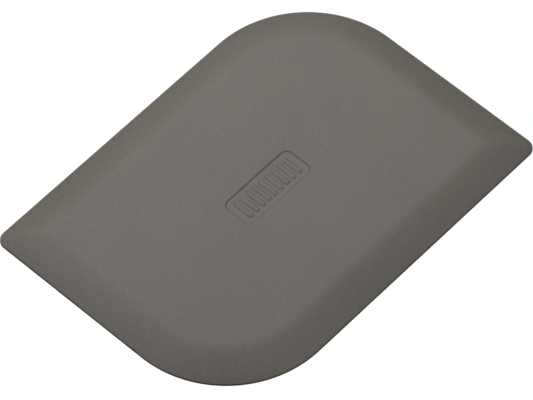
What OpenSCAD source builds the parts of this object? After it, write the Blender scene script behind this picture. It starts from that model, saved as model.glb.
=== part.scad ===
// Bowl scraper: a stiff inner plate moulded between two sheets of silicone.
// The plate lies on its flat back. +Z is up, out of the face that carries the grip panel.
// X runs along the long edges and Y along the short ones. The origin is on the back face,
// at the centre of the outline. Two opposite corners are wide, for the curve of a bowl, and
// two are tight, for the corner of a tin.

/* [Outline] */
// Length along the long edges
blade_l = 150; // [140:1:170]
// Width across the long edges
blade_w = 108.4; // [100:0.2:124]
// Radius of the two wide corners
bowl_r = 41; // [36:0.5:46]
// Radius of the two tight corners
tip_r = 4.2; // [3:0.1:6]

/* [Section] */
// Thickness over the flat grip area
grip_t = 4.5; // [4.3:0.1:5.5]
// Thickness of the lip at its outer edge
lip_t = 0.8; // [0.7:0.05:1.0]
// Width of the bevel, from the lip's edge to where its rounding starts
bevel_w = 10; // [9:0.5:10.5]
// Width of the rounding between the bevel and the flat
blend_w = 4; // [3:0.5:4.5]
// Slope of the bevel where the rounding starts, in degrees
knee_a = 13; // [8:1:13]
// Size of the small break on the lip's edges
lip_break = 0.15; // [0.05:0.05:0.25]

/* [Inner plate] */
// Distance of the plate's thin rim from the lip's edge
core_inset = 11.5; // [10:0.5:14]
// Thickness of the inner plate
core_t = 2; // [1.6:0.1:2.2]
// Thickness of the plate at its outer rim
core_rim_t = 0.9; // [0.7:0.1:1.2]
// Width of the slope from the rim up to full thickness
core_slope = 4; // [3:0.5:5]
// Silicone under the plate
back_cover = 1.2; // [1:0.1:1.3]
// Diameter of the holes that the silicone grows through
key_d = 5; // [4:0.5:6]
// Diameter of the small feet that hold the plate at mid-height in the mould
foot_d = 2.4; // [2:0.2:3]
// Silicone left over the end of each foot
foot_cover = 0.4; // [0.3:0.05:0.5]

/* [Grip panel] */
// Length of the sunk panel
panel_l = 31.2; // [26:0.2:36]
// Width of the sunk panel
panel_w = 12.2; // [10:0.2:14]
// Corner radius of the panel
panel_r = 2.6; // [1.5:0.1:3]
// Depth of the panel
panel_depth = 0.4; // [0.3:0.05:0.6]
// Number of raised bars in the panel
rib_n = 9; // [5:1:9]
// Width of one bar
rib_w = 1.7; // [1.2:0.1:1.8]
// Length of one bar
rib_l = 8; // [6:0.5:8.5]
// Height of the bars over the panel's floor
rib_h = 0.32; // [0.2:0.02:0.4]

/* [Hidden] */
silicone = [0.45, 0.44, 0.42];
silicone_back = [0.42, 0.41, 0.39];
nylon = [0.16, 0.16, 0.17];
far = 400;

// Height at which the two sheets meet along the lip
seam_z = lip_t / 2;
// The back sheet is thicker under the plate; the step locates the front sheet
tray_inset = 8;
tray_r = 2;
core_z0 = back_cover;
core_z1 = back_cover + core_t;
core_tip_r = 3;

// The bevel is a slightly domed arc, steeper at the lip, and the rounding is a tighter arc
// tangent to it and to the flat
blend_rise = blend_w * tan(knee_a / 2);
chord_a = atan((grip_t - lip_t - blend_rise) / bevel_w);
lip_a = 2 * chord_a - knee_a;
bevel_r = bevel_w / (sin(lip_a) - sin(knee_a));
blend_r = blend_w / sin(knee_a);
at_lip = [0, lip_t];
at_knee = [bevel_w, grip_t - blend_rise];
at_flat = [bevel_w + blend_w, grip_t];

// Holes in the plate: a row inside each edge and two short rows about the panel
core_hl = blade_l / 2 - core_inset - core_slope;
core_hw = blade_w / 2 - core_inset - core_slope;
key_in = 6;
keys = concat(
    [for (i = [0 : 5]) [-core_hl + key_in + i * 15, core_hw - key_in]],
    [for (i = [0 : 5]) [core_hl - key_in - i * 15, -core_hw + key_in]],
    [for (i = [0 : 2]) [-core_hl + key_in, core_hw - key_in - 14 * (i + 1)]],
    [for (i = [0 : 2]) [core_hl - key_in, -core_hw + key_in + 14 * (i + 1)]],
    [for (a = [20, 55]) [core_hl - (bowl_r - 15.5) + 18 * cos(a), core_hw - (bowl_r - 15.5) + 18 * sin(a)]],
    [for (a = [200, 235]) [-core_hl + (bowl_r - 15.5) + 18 * cos(a), -core_hw + (bowl_r - 15.5) + 18 * sin(a)]],
    [for (x = [-24, -8, 8, 24]) for (s = [-1, 1]) [x, s * 13]],
    [for (x = [-34, 34]) [x, 0]]
);
feet = [[-48, 22], [-16, 24], [16, 24], [48, 0], [48, -22], [16, -24], [-16, -24], [-48, 0]];

// The sliver between an arc and its chord, for an arc from p to q that leaves p at slope a
module domed(p, q, r, a) {
    intersection() {
        translate([p[0] + r * sin(a), p[1] - r * cos(a)]) circle(r = r, $fn = 2880);
        polygon([p, [p[0], q[1] + 0.01], q]);
    }
}

// Half of a section seen in (distance from the edge, height), from z0 up to the bevel and flat
module front_section(z0) {
    difference() {
        union() {
            polygon([[0, z0], at_lip, at_knee, at_flat, [far, grip_t], [far, z0]]);
            domed(at_lip, at_knee, bevel_r, lip_a);
            domed(at_knee, at_flat, blend_r, knee_a);
        }
        polygon([[-1, lip_t - lip_break], [0, lip_t - lip_break],
                 [lip_break, lip_t + lip_break * tan(lip_a)], [lip_break, lip_t + 1], [-1, lip_t + 1]]);
    }
}

module back_section(z1) {
    polygon([[lip_break, 0], [far, 0], [far, z1], [0, z1], [0, lip_break]]);
}

module step_section(z0, z1) {
    polygon([[0, z0], [far, z0], [far, z1], [0, z1]]);
}

module core_section() {
    polygon([[0, core_z0], [far, core_z0], [far, core_z1], [core_slope, core_z1],
             [0, core_z0 + core_rim_t]]);
}

// A quarter turn of the section about a corner's centre, for a corner in the +X +Y quadrant
module corner(r) {
    rotate_extrude(angle = 90, $fn = 720)
        intersection() {
            translate([r, 0]) mirror([1, 0]) children();
            translate([0, -1]) square([r, 40]);
        }
}

// A slab with the same edge section all the way round. Wide corners lie at +X +Y and at
// -X -Y, tight corners at -X +Y and +X -Y. The straight edges meet in a mitre where the
// section runs further in than the corner's radius.
module slab(l, w, wide, tight) {
    difference() {
        intersection() {
            for_side(l, w, 0) children();
            for_side(l, w, 1) children();
        }
        for (s = [0, 180]) rotate(s) {
            translate([l / 2 - wide, w / 2 - wide, -1]) cube([wide + 9, wide + 9, 40]);
            translate([-l / 2 - 9, w / 2 - tight, -1]) cube([tight + 9, tight + 9, 40]);
        }
    }
    for (s = [0, 180]) rotate(s) {
        translate([l / 2 - wide, w / 2 - wide, 0]) corner(wide) children();
        translate([-l / 2 + tight, w / 2 - tight, 0]) rotate(90) corner(tight) children();
    }
}

// The section drawn from both of two opposite edges, as one prism between them
module for_side(l, w, k) {
    a = (k == 0) ? l : w;
    b = (k == 0) ? w : l;
    rotate(k * 90)
        translate([0, b / 2 + 20, 0]) rotate([90, 0, 0])
            linear_extrude(height = b + 40)
                intersection() {
                    translate([-a / 2, 0]) children();
                    translate([a / 2, 0]) mirror([1, 0]) children();
                }
}

module round_box(l, w, r, z0, z1) {
    translate([0, 0, z0]) linear_extrude(height = z1 - z0) {
        square([l - 2 * r, w], center = true);
        square([l, w - 2 * r], center = true);
        for (x = [-1, 1]) for (y = [-1, 1])
            translate([x * (l / 2 - r), y * (w / 2 - r)]) circle(r = r, $fn = 96);
    }
}

module core_blank() {
    slab(blade_l - 2 * core_inset, blade_w - 2 * core_inset, bowl_r - core_inset, core_tip_r)
        core_section();
    for (p = feet) translate([p[0], p[1], foot_cover])
        cylinder(d = foot_d, h = grip_t - 2 * foot_cover, $fn = 48);
}

module tray_blank() {
    slab(blade_l - 2 * tray_inset, blade_w - 2 * tray_inset, bowl_r - tray_inset, tray_r)
        step_section(seam_z - 0.2, back_cover);
}

module ribs() {
    pitch = (panel_l - 4.4) / rib_n;
    for (i = [0 : rib_n - 1])
        translate([(i - (rib_n - 1) / 2) * pitch, 0, 0])
            round_box(rib_w, rib_l, rib_w / 2 - 0.01, grip_t - panel_depth - 0.1, grip_t - panel_depth + rib_h);
}

module front_skin() {
    color(silicone) union() {
        difference() {
            slab(blade_l, blade_w, bowl_r, tip_r) front_section(seam_z);
            core_blank();
            tray_blank();
            round_box(panel_l, panel_w, panel_r, grip_t - panel_depth, grip_t + 1);
        }
        ribs();
    }
}

module back_skin() {
    color(silicone_back) {
        difference() {
            union() {
                slab(blade_l, blade_w, bowl_r, tip_r) back_section(seam_z);
                tray_blank();
            }
            for (p = feet) translate([p[0], p[1], foot_cover]) cylinder(d = foot_d, h = 9, $fn = 48);
        }
        for (p = keys) translate([p[0], p[1], back_cover - 0.2])
            cylinder(d = key_d, h = core_t + 0.2, $fn = 64);
    }
}

module core_plate() {
    color(nylon) difference() {
        core_blank();
        for (p = keys) translate([p[0], p[1], core_z0 - 1])
            cylinder(d = key_d, h = core_t + 2, $fn = 64);
    }
}

front_skin();
back_skin();
core_plate();
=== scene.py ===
import math

import bpy
import numpy as np
from mathutils import Matrix, Vector
from mathutils.geometry import delaunay_2d_cdt


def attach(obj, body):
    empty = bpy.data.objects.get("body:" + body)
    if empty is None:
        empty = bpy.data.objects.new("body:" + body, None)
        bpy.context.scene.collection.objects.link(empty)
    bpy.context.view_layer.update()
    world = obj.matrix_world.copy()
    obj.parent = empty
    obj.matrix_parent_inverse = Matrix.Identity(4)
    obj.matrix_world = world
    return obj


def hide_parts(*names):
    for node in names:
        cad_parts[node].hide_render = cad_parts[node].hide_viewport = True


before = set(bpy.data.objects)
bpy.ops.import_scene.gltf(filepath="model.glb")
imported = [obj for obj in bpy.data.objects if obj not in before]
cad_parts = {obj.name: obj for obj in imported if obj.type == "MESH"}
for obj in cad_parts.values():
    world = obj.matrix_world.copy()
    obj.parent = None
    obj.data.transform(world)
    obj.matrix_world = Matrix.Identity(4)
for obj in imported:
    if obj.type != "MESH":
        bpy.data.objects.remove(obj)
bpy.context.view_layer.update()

MM = 0.001
L, W = 150.0, 108.4
WIDE, TIGHT = 41.0, 4.2
TOP, LIP, SEAM = 4.5, 0.8, 0.4
BEVEL, BLEND, KNEE = 10.0, 4.0, math.radians(13)
PANEL_L, PANEL_W, PANEL_R, PANEL_D = 31.2, 12.2, 2.6, 0.40
RIBS, RIB_W, RIB_L, RIB_H = 9, 1.7, 8.0, 0.32
PLATE_IN, PLATE_Z0, PLATE_Z1, PLATE_RIM, PLATE_SLOPE = 11.5, 1.2, 3.2, 0.9, 4.0
FOOT_R, FOOT_Z0, FOOT_Z1 = 1.2, 0.4, 4.1
KEY_R = 2.5
NA, NB, NL, NS = 72, 20, 70, 44

slope = 2 * math.atan((TOP - LIP - BLEND * math.tan(KNEE / 2)) / BEVEL) - KNEE
bevel_r = BEVEL / (math.sin(slope) - math.sin(KNEE))
blend_r = BLEND / math.sin(KNEE)
hl, hw = L / 2 - PLATE_IN - PLATE_SLOPE, W / 2 - PLATE_IN - PLATE_SLOPE
KEYS = ([(-hl + 6 + i * 15, hw - 6) for i in range(6)] + [(hl - 6 - i * 15, -hw + 6) for i in range(6)]
        + [(-hl + 6, hw - 6 - 14 * (i + 1)) for i in range(3)] + [(hl - 6, -hw + 6 + 14 * (i + 1)) for i in range(3)]
        + [(hl - 25.5 + 18 * math.cos(math.radians(a)), hw - 25.5 + 18 * math.sin(math.radians(a))) for a in (20, 55)]
        + [(-hl + 25.5 + 18 * math.cos(math.radians(a)), -hw + 25.5 + 18 * math.sin(math.radians(a))) for a in (200, 235)]
        + [(x, s * 13) for x in (-24, -8, 8, 24) for s in (-1, 1)] + [(-34, 0), (34, 0)])
FEET = [(-48, 22), (-16, 24), (16, 24), (48, 0), (48, -22), (16, -24), (-16, -24), (-48, 0)]


def height(d):
    """Height of the bevelled face at a distance from the lip's edge."""
    if d <= BEVEL:
        return LIP + math.sqrt(bevel_r ** 2 - (bevel_r * math.sin(slope) - d) ** 2) - bevel_r * math.cos(slope)
    if d >= BEVEL + BLEND:
        return TOP
    return TOP - blend_r + math.sqrt(blend_r ** 2 - (BEVEL + BLEND - d) ** 2)


def ring(inset, z, wide=None, tight=None):
    """The outline moved in by inset, always with the same number of points, from the wide corner on."""
    wide = WIDE - inset if wide is None else wide
    tight = 0.5 + 3.7 * math.exp(-inset / 3.7) if tight is None else tight
    x, y = L / 2 - inset, W / 2 - inset
    pts = []

    def arc(cx, cy, r, a0, n):
        pts.extend((cx + r * math.cos(a0 + math.pi / 2 * i / n), cy + r * math.sin(a0 + math.pi / 2 * i / n)) for i in range(n + 1))

    def side(a, b, n):
        pts.extend((a[0] + (b[0] - a[0]) * i / n, a[1] + (b[1] - a[1]) * i / n) for i in range(1, n))

    arc(x - wide, y - wide, wide, 0, NA)
    side((x - wide, y), (-x + tight, y), NL)
    arc(-x + tight, y - tight, tight, math.pi / 2, NB)
    side((-x, y - tight), (-x, -y + wide), NS)
    arc(-x + wide, -y + wide, wide, math.pi, NA)
    side((-x + wide, -y), (x - tight, -y), NL)
    arc(x - tight, -y + tight, tight, 1.5 * math.pi, NB)
    side((x, -y + tight), (x, y - wide), NS)
    return [(px, py, z) for px, py in pts]


class Shell:
    """Collects rings and fills, and turns them into one closed mesh."""

    def __init__(self):
        self.v, self.f = [], []

    def add(self, pts):
        start = len(self.v)
        self.v.extend(pts)
        return list(range(start, len(self.v)))

    def loft(self, a, b):
        n = len(a)
        for i in range(n):
            j = (i + 1) % n
            self.f.append((a[i], a[j], b[j], b[i]))

    def fill(self, outer, holes, z, up, spread=0):
        """Fills a flat outline, less its holes, with triangles."""
        ids = list(outer)
        edges = []
        base = 0
        for loop in [outer] + holes:
            if loop is not outer:
                ids += loop
            edges += [(base + i, base + (i + 1) % len(loop)) for i in range(len(loop))]
            base += len(loop)
        co = [Vector(self.v[i][:2]) for i in ids]
        steiner = []
        if spread:
            xs = [c.x for c in co]
            ys = [c.y for c in co]
            poly = [co[i] for i in range(len(outer))]
            cuts, b = [], len(outer)
            for h in holes:
                cuts.append([co[b + i] for i in range(len(h))])
                b += len(h)
            gx = np.arange(min(xs) + spread, max(xs), spread)
            gy = np.arange(min(ys) + spread, max(ys), spread)
            allv = np.array([[c.x, c.y] for c in co])
            for x in gx:
                for y in gy:
                    if np.min((allv[:, 0] - x) ** 2 + (allv[:, 1] - y) ** 2) < (0.5 * spread) ** 2:
                        continue
                    if inside((x, y), poly) and not any(inside((x, y), c) for c in cuts):
                        steiner.append(Vector((x, y)))
        out = delaunay_2d_cdt(co + steiner, edges, [], 1, 1e-6)
        vco, _, faces, vsrc = out[0], out[1], out[2], out[3]
        own = {}
        for i, src in enumerate(vsrc):
            k = src[0] if src else None
            if k is not None and k < len(ids):
                own[i] = ids[k]
            else:
                own[i] = self.add([(vco[i].x, vco[i].y, z)])[0]
        cuts, b = [], len(outer)
        for h in holes:
            cuts.append([co[b + i] for i in range(len(h))])
            b += len(h)
        for t in faces:
            c = sum((vco[i] for i in t), Vector((0, 0))) / len(t)
            if any(inside(c, cut) for cut in cuts):
                continue
            a = sum(vco[t[i]].x * vco[t[(i + 1) % len(t)]].y - vco[t[(i + 1) % len(t)]].x * vco[t[i]].y for i in range(len(t)))
            t = [own[i] for i in t]
            self.f.append(tuple(t if (a > 0) == up else t[::-1]))

    def build(self, name, material, smooth_deg=40):
        me = bpy.data.meshes.new(name)
        me.from_pydata([Vector(p) * MM for p in self.v], [], self.f)
        me.validate()
        me.update()
        me.materials.append(material)
        ob = bpy.data.objects.new(name, me)
        bpy.context.scene.collection.objects.link(ob)
        me.shade_smooth()
        me.set_sharp_from_angle(angle=math.radians(smooth_deg))
        return ob


def inside(p, poly):
    x, y = p[0], p[1]
    hit = False
    n = len(poly)
    j = n - 1
    for i in range(n):
        xi, yi, xj, yj = poly[i][0], poly[i][1], poly[j][0], poly[j][1]
        if (yi > y) != (yj > y) and x < (xj - xi) * (y - yi) / (yj - yi) + xi:
            hit = not hit
        j = i
    return hit


def circle(cx, cy, r, z, n=40):
    return [(cx + r * math.cos(2 * math.pi * i / n), cy + r * math.sin(2 * math.pi * i / n), z) for i in range(n)]


def box_sd(x, y, hx, hy, r):
    qx, qy = np.abs(x) - hx + r, np.abs(y) - hy + r
    return np.hypot(np.maximum(qx, 0), np.maximum(qy, 0)) + np.minimum(np.maximum(qx, qy), 0) - r


def step(sd, half):
    """1 inside, 0 outside, rounded over the band of that half width."""
    t = np.clip(0.5 - sd / (2 * half), 0, 1)
    return t * t * (3 - 2 * t)


def panel_height(x, y):
    z = TOP - PANEL_D * step(box_sd(x, y, PANEL_L / 2, PANEL_W / 2, PANEL_R), 0.26)
    pitch = (PANEL_L - 4.4) / RIBS
    for i in range(RIBS):
        c = (i - (RIBS - 1) / 2) * pitch
        z = z + RIB_H * step(box_sd(x - c, y, RIB_W / 2, RIB_L / 2, RIB_W / 2), 0.36)
    return z


# ---- materials ----

def silicone(name, tone):
    mat = bpy.data.materials.new(name)
    mat.use_nodes = True
    nt = mat.node_tree
    nt.nodes.clear()
    out = nt.nodes.new("ShaderNodeOutputMaterial")
    sh = nt.nodes.new("ShaderNodeBsdfPrincipled")
    nt.links.new(sh.outputs[0], out.inputs[0])
    sh.inputs["Specular IOR Level"].default_value = 0.45
    sh.inputs["IOR"].default_value = 1.41
    geo = nt.nodes.new("ShaderNodeTexCoord")

    def noise(scale, detail, rough):
        n = nt.nodes.new("ShaderNodeTexNoise")
        n.inputs["Scale"].default_value = scale
        n.inputs["Detail"].default_value = detail
        n.inputs["Roughness"].default_value = rough
        nt.links.new(geo.outputs["Object"], n.inputs["Vector"])
        return n

    broad, mid, fine = noise(28, 3, 0.5), noise(1150, 3, 0.65), noise(2800, 2, 0.55)
    mix = nt.nodes.new("ShaderNodeMath"); mix.operation = "MULTIPLY_ADD"
    mix.inputs[1].default_value = 0.75
    nt.links.new(mid.outputs["Fac"], mix.inputs[0])
    half = nt.nodes.new("ShaderNodeMath"); half.operation = "MULTIPLY"
    half.inputs[1].default_value = 0.25
    nt.links.new(broad.outputs["Fac"], half.inputs[0])
    nt.links.new(half.outputs[0], mix.inputs[2])
    ramp = nt.nodes.new("ShaderNodeValToRGB")
    ramp.color_ramp.elements[0].position = 0.36
    ramp.color_ramp.elements[1].position = 0.64
    ramp.color_ramp.elements[0].color = [c * 0.90 for c in tone] + [1]
    ramp.color_ramp.elements[1].color = [c * 1.12 for c in tone] + [1]
    nt.links.new(mix.outputs[0], ramp.inputs[0])
    nt.links.new(ramp.outputs[0], sh.inputs["Base Color"])
    rr = nt.nodes.new("ShaderNodeMapRange")
    rr.inputs["To Min"].default_value = 0.47
    rr.inputs["To Max"].default_value = 0.59
    nt.links.new(mid.outputs["Fac"], rr.inputs["Value"])
    nt.links.new(rr.outputs[0], sh.inputs["Roughness"])
    b1 = nt.nodes.new("ShaderNodeBump")
    b1.inputs["Strength"].default_value = 0.35
    b1.inputs["Distance"].default_value = 0.00004
    nt.links.new(fine.outputs["Fac"], b1.inputs["Height"])
    b2 = nt.nodes.new("ShaderNodeBump")
    b2.inputs["Strength"].default_value = 0.5
    b2.inputs["Distance"].default_value = 0.00008
    nt.links.new(mid.outputs["Fac"], b2.inputs["Height"])
    nt.links.new(b1.outputs[0], b2.inputs["Normal"])
    nt.links.new(b2.outputs[0], sh.inputs["Normal"])
    return mat


def nylon(name):
    mat = bpy.data.materials.new(name)
    mat.use_nodes = True
    nt = mat.node_tree
    sh = nt.nodes["Principled BSDF"]
    co = nt.nodes.new("ShaderNodeTexCoord")
    n = nt.nodes.new("ShaderNodeTexNoise")
    n.inputs["Scale"].default_value = 900
    n.inputs["Detail"].default_value = 4
    nt.links.new(co.outputs["Object"], n.inputs["Vector"])
    ramp = nt.nodes.new("ShaderNodeValToRGB")
    ramp.color_ramp.elements[0].color = (0.03, 0.03, 0.033, 1)
    ramp.color_ramp.elements[1].color = (0.06, 0.06, 0.066, 1)
    nt.links.new(n.outputs["Fac"], ramp.inputs[0])
    nt.links.new(ramp.outputs[0], sh.inputs["Base Color"])
    sh.inputs["Roughness"].default_value = 0.45
    b = nt.nodes.new("ShaderNodeBump")
    b.inputs["Strength"].default_value = 0.3
    b.inputs["Distance"].default_value = 0.00005
    nt.links.new(n.outputs["Fac"], b.inputs["Height"])
    nt.links.new(b.outputs[0], sh.inputs["Normal"])
    return mat


TONE = (0.1285, 0.1195, 0.1025)
skin = silicone("silicone_front", TONE)
skin_back = silicone("silicone_back", TONE)

# ---- front sheet ----
s = Shell()
plan = [(0.05, 0.40), (0.0, 0.45), (0.0, 0.60), (0.02, 0.68), (0.07, 0.75), (0.15, LIP + 0.15 * math.tan(slope) - 0.02)]
plan += [(d, height(d)) for d in [0.3, 0.7, 1.4, 2.4, 3.4] + [4.4 + 0.5 * i for i in range(27)]]
plan += [(18.4, TOP), (20.0, TOP)]
rings = [s.add(ring(d, z)) for d, z in plan]
for a, b in zip(rings, rings[1:]):
    s.loft(a, b)
gx = np.linspace(-17.4, 17.4, 249)
gy = np.linspace(-7.9, 7.9, 114)
X, Y = np.meshgrid(gx, gy, indexing="ij")
Z = panel_height(X, Y)
grid = np.array(s.add([(float(a), float(b), float(c)) for a, b, c in zip(X.ravel(), Y.ravel(), Z.ravel())])).reshape(X.shape)
for i in range(len(gx) - 1):
    for j in range(len(gy) - 1):
        s.f.append((int(grid[i, j]), int(grid[i + 1, j]), int(grid[i + 1, j + 1]), int(grid[i, j + 1])))
border = [int(k) for k in list(grid[:-1, 0]) + list(grid[-1, :-1]) + list(grid[:0:-1, -1]) + list(grid[0, :0:-1])]
s.fill(rings[-1], [border], TOP, True, 3.0)
under = [(0.05, 0.40, None, None), (8.0, SEAM, 33, 2), (8.0, PLATE_Z0, 33, 2), (PLATE_IN, PLATE_Z0, 29.5, 3),
         (PLATE_IN, PLATE_Z0 + PLATE_RIM, 29.5, 3), (PLATE_IN + PLATE_SLOPE, PLATE_Z1, 25.5, 0.6)]
low = [rings[0]] + [s.add(ring(d, z, a, b)) for d, z, a, b in under[1:]]
for a, b in zip(low, low[1:]):
    s.loft(b, a)
pits = []
for x, y in FEET:
    rim, end = s.add(circle(x, y, FOOT_R, PLATE_Z1)), s.add(circle(x, y, FOOT_R, FOOT_Z1))
    s.loft(end, rim)
    s.fill(end, [], FOOT_Z1, False)
    pits.append(rim)
s.fill(low[-1], pits, PLATE_Z1, False, 5.0)
front = s.build("face_sheet", skin)
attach(front, "root"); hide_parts("front_skin")

# ---- back sheet ----
s = Shell()
outer = [(0.9, 0.0), (0.3, 0.0), (0.12, 0.015), (0.04, 0.06), (0.0, 0.14), (0.0, 0.34), (0.05, 0.40)]
rings = [s.add(ring(d, z)) for d, z in outer]
for a, b in zip(rings, rings[1:]):
    s.loft(a, b)
s.fill(rings[0], [], 0.0, False, 4.0)
up = [s.add(ring(8.0, SEAM, 33, 2)), s.add(ring(8.0, PLATE_Z0, 33, 2))]
s.loft(rings[-1], up[0]); s.loft(up[0], up[1])
holes = []
for x, y in KEYS:
    a, b, c = s.add(circle(x, y, KEY_R, PLATE_Z0)), s.add(circle(x, y, KEY_R, PLATE_Z1 - 0.1)), s.add(circle(x, y, KEY_R - 0.1, PLATE_Z1))
    s.loft(a, b); s.loft(b, c); s.fill(c, [], PLATE_Z1, True)
    holes.append(a)
for x, y in FEET:
    a, b = s.add(circle(x, y, FOOT_R, PLATE_Z0)), s.add(circle(x, y, FOOT_R, FOOT_Z0))
    s.loft(a, b); s.fill(b, [], FOOT_Z0, True)
    holes.append(a)
s.fill(up[1], holes, PLATE_Z0, True, 5.0)
back = s.build("back_sheet", skin_back)
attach(back, "root"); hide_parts("back_skin")

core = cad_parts["core_plate"]
core.data.materials.clear()
core.data.materials.append(nylon("core"))

# ---- floor, light, camera ----
me = bpy.data.meshes.new("floor")
me.from_pydata([(-3, -3, -0.0002), (3, -3, -0.0002), (3, 3, -0.0002), (-3, 3, -0.0002)], [], [(0, 1, 2, 3)])
floor = bpy.data.objects.new("floor", me)
bpy.context.scene.collection.objects.link(floor)
fm = bpy.data.materials.new("floor")
fm.use_nodes = True
nt = fm.node_tree
nt.nodes.clear()
glow = nt.nodes.new("ShaderNodeEmission")
glow.inputs["Color"].default_value = (1, 1, 1, 1)
glow.inputs["Strength"].default_value = 1.01
nt.links.new(glow.outputs[0], nt.nodes.new("ShaderNodeOutputMaterial").inputs[0])
me.materials.append(fm)
floor.visible_diffuse = False
floor.visible_glossy = False

world = bpy.data.worlds.new("world")
bpy.context.scene.world = world
world.use_nodes = True
wt = world.node_tree
bg = wt.nodes["Background"]
tc = wt.nodes.new("ShaderNodeTexCoord")
sep = wt.nodes.new("ShaderNodeSeparateXYZ")
wt.links.new(tc.outputs["Generated"], sep.inputs[0])
grade = wt.nodes.new("ShaderNodeMapRange")
grade.inputs["From Min"].default_value = -0.05
grade.inputs["From Max"].default_value = 0.6
grade.inputs["To Min"].default_value = 0.28
grade.inputs["To Max"].default_value = 0.10
wt.links.new(sep.outputs["Z"], grade.inputs["Value"])
wt.links.new(grade.outputs[0], bg.inputs["Strength"])


def area(name, direction, dist, size, power):
    d = Vector(direction).normalized()
    data = bpy.data.lights.new(name, "AREA")
    data.shape = "DISK"
    data.size = size
    data.energy = power
    ob = bpy.data.objects.new(name, data)
    ob.location = d * dist
    ob.rotation_euler = d.to_track_quat("Z", "Y").to_euler()
    bpy.context.scene.collection.objects.link(ob)


area("behind", (0.40, 0.48, 0.78), 0.50, 0.38, 1.50)
area("left_behind", (-0.3, 0.5, 0.8), 0.50, 0.38, 1.02)
area("front", (0.1, -0.56, 0.82), 0.8, 0.6, 2.1)

az, el, roll = math.radians(-46.44), math.radians(56.24), math.radians(-0.92)
back_v = Vector((math.sin(az) * math.cos(el), -math.cos(az) * math.cos(el), math.sin(el)))
fwd = -back_v
right = fwd.cross(Vector((0, 0, 1))).normalized()
upv = right.cross(fwd)
c, sn = math.cos(roll), math.sin(roll)
r2, u2 = c * right + sn * upv, -sn * right + c * upv
pos = back_v * 1489.0 - 0.50 * r2 - 2.06 * u2 + Vector((0, 0, 0.4))
cam = bpy.data.cameras.new("camera")
cam.sensor_fit = "HORIZONTAL"
cam.sensor_width = 36
cam.lens = 4456.0 / 533 * 36
cam.clip_end = 20
camera = bpy.data.objects.new("camera", cam)
m = Matrix((r2, u2, back_v)).transposed().to_4x4()
m.translation = pos * MM
camera.matrix_world = m
bpy.context.scene.collection.objects.link(camera)
bpy.context.scene.camera = camera
bpy.context.scene.view_settings.view_transform = "Standard"
bpy.context.scene.view_settings.look = "None"
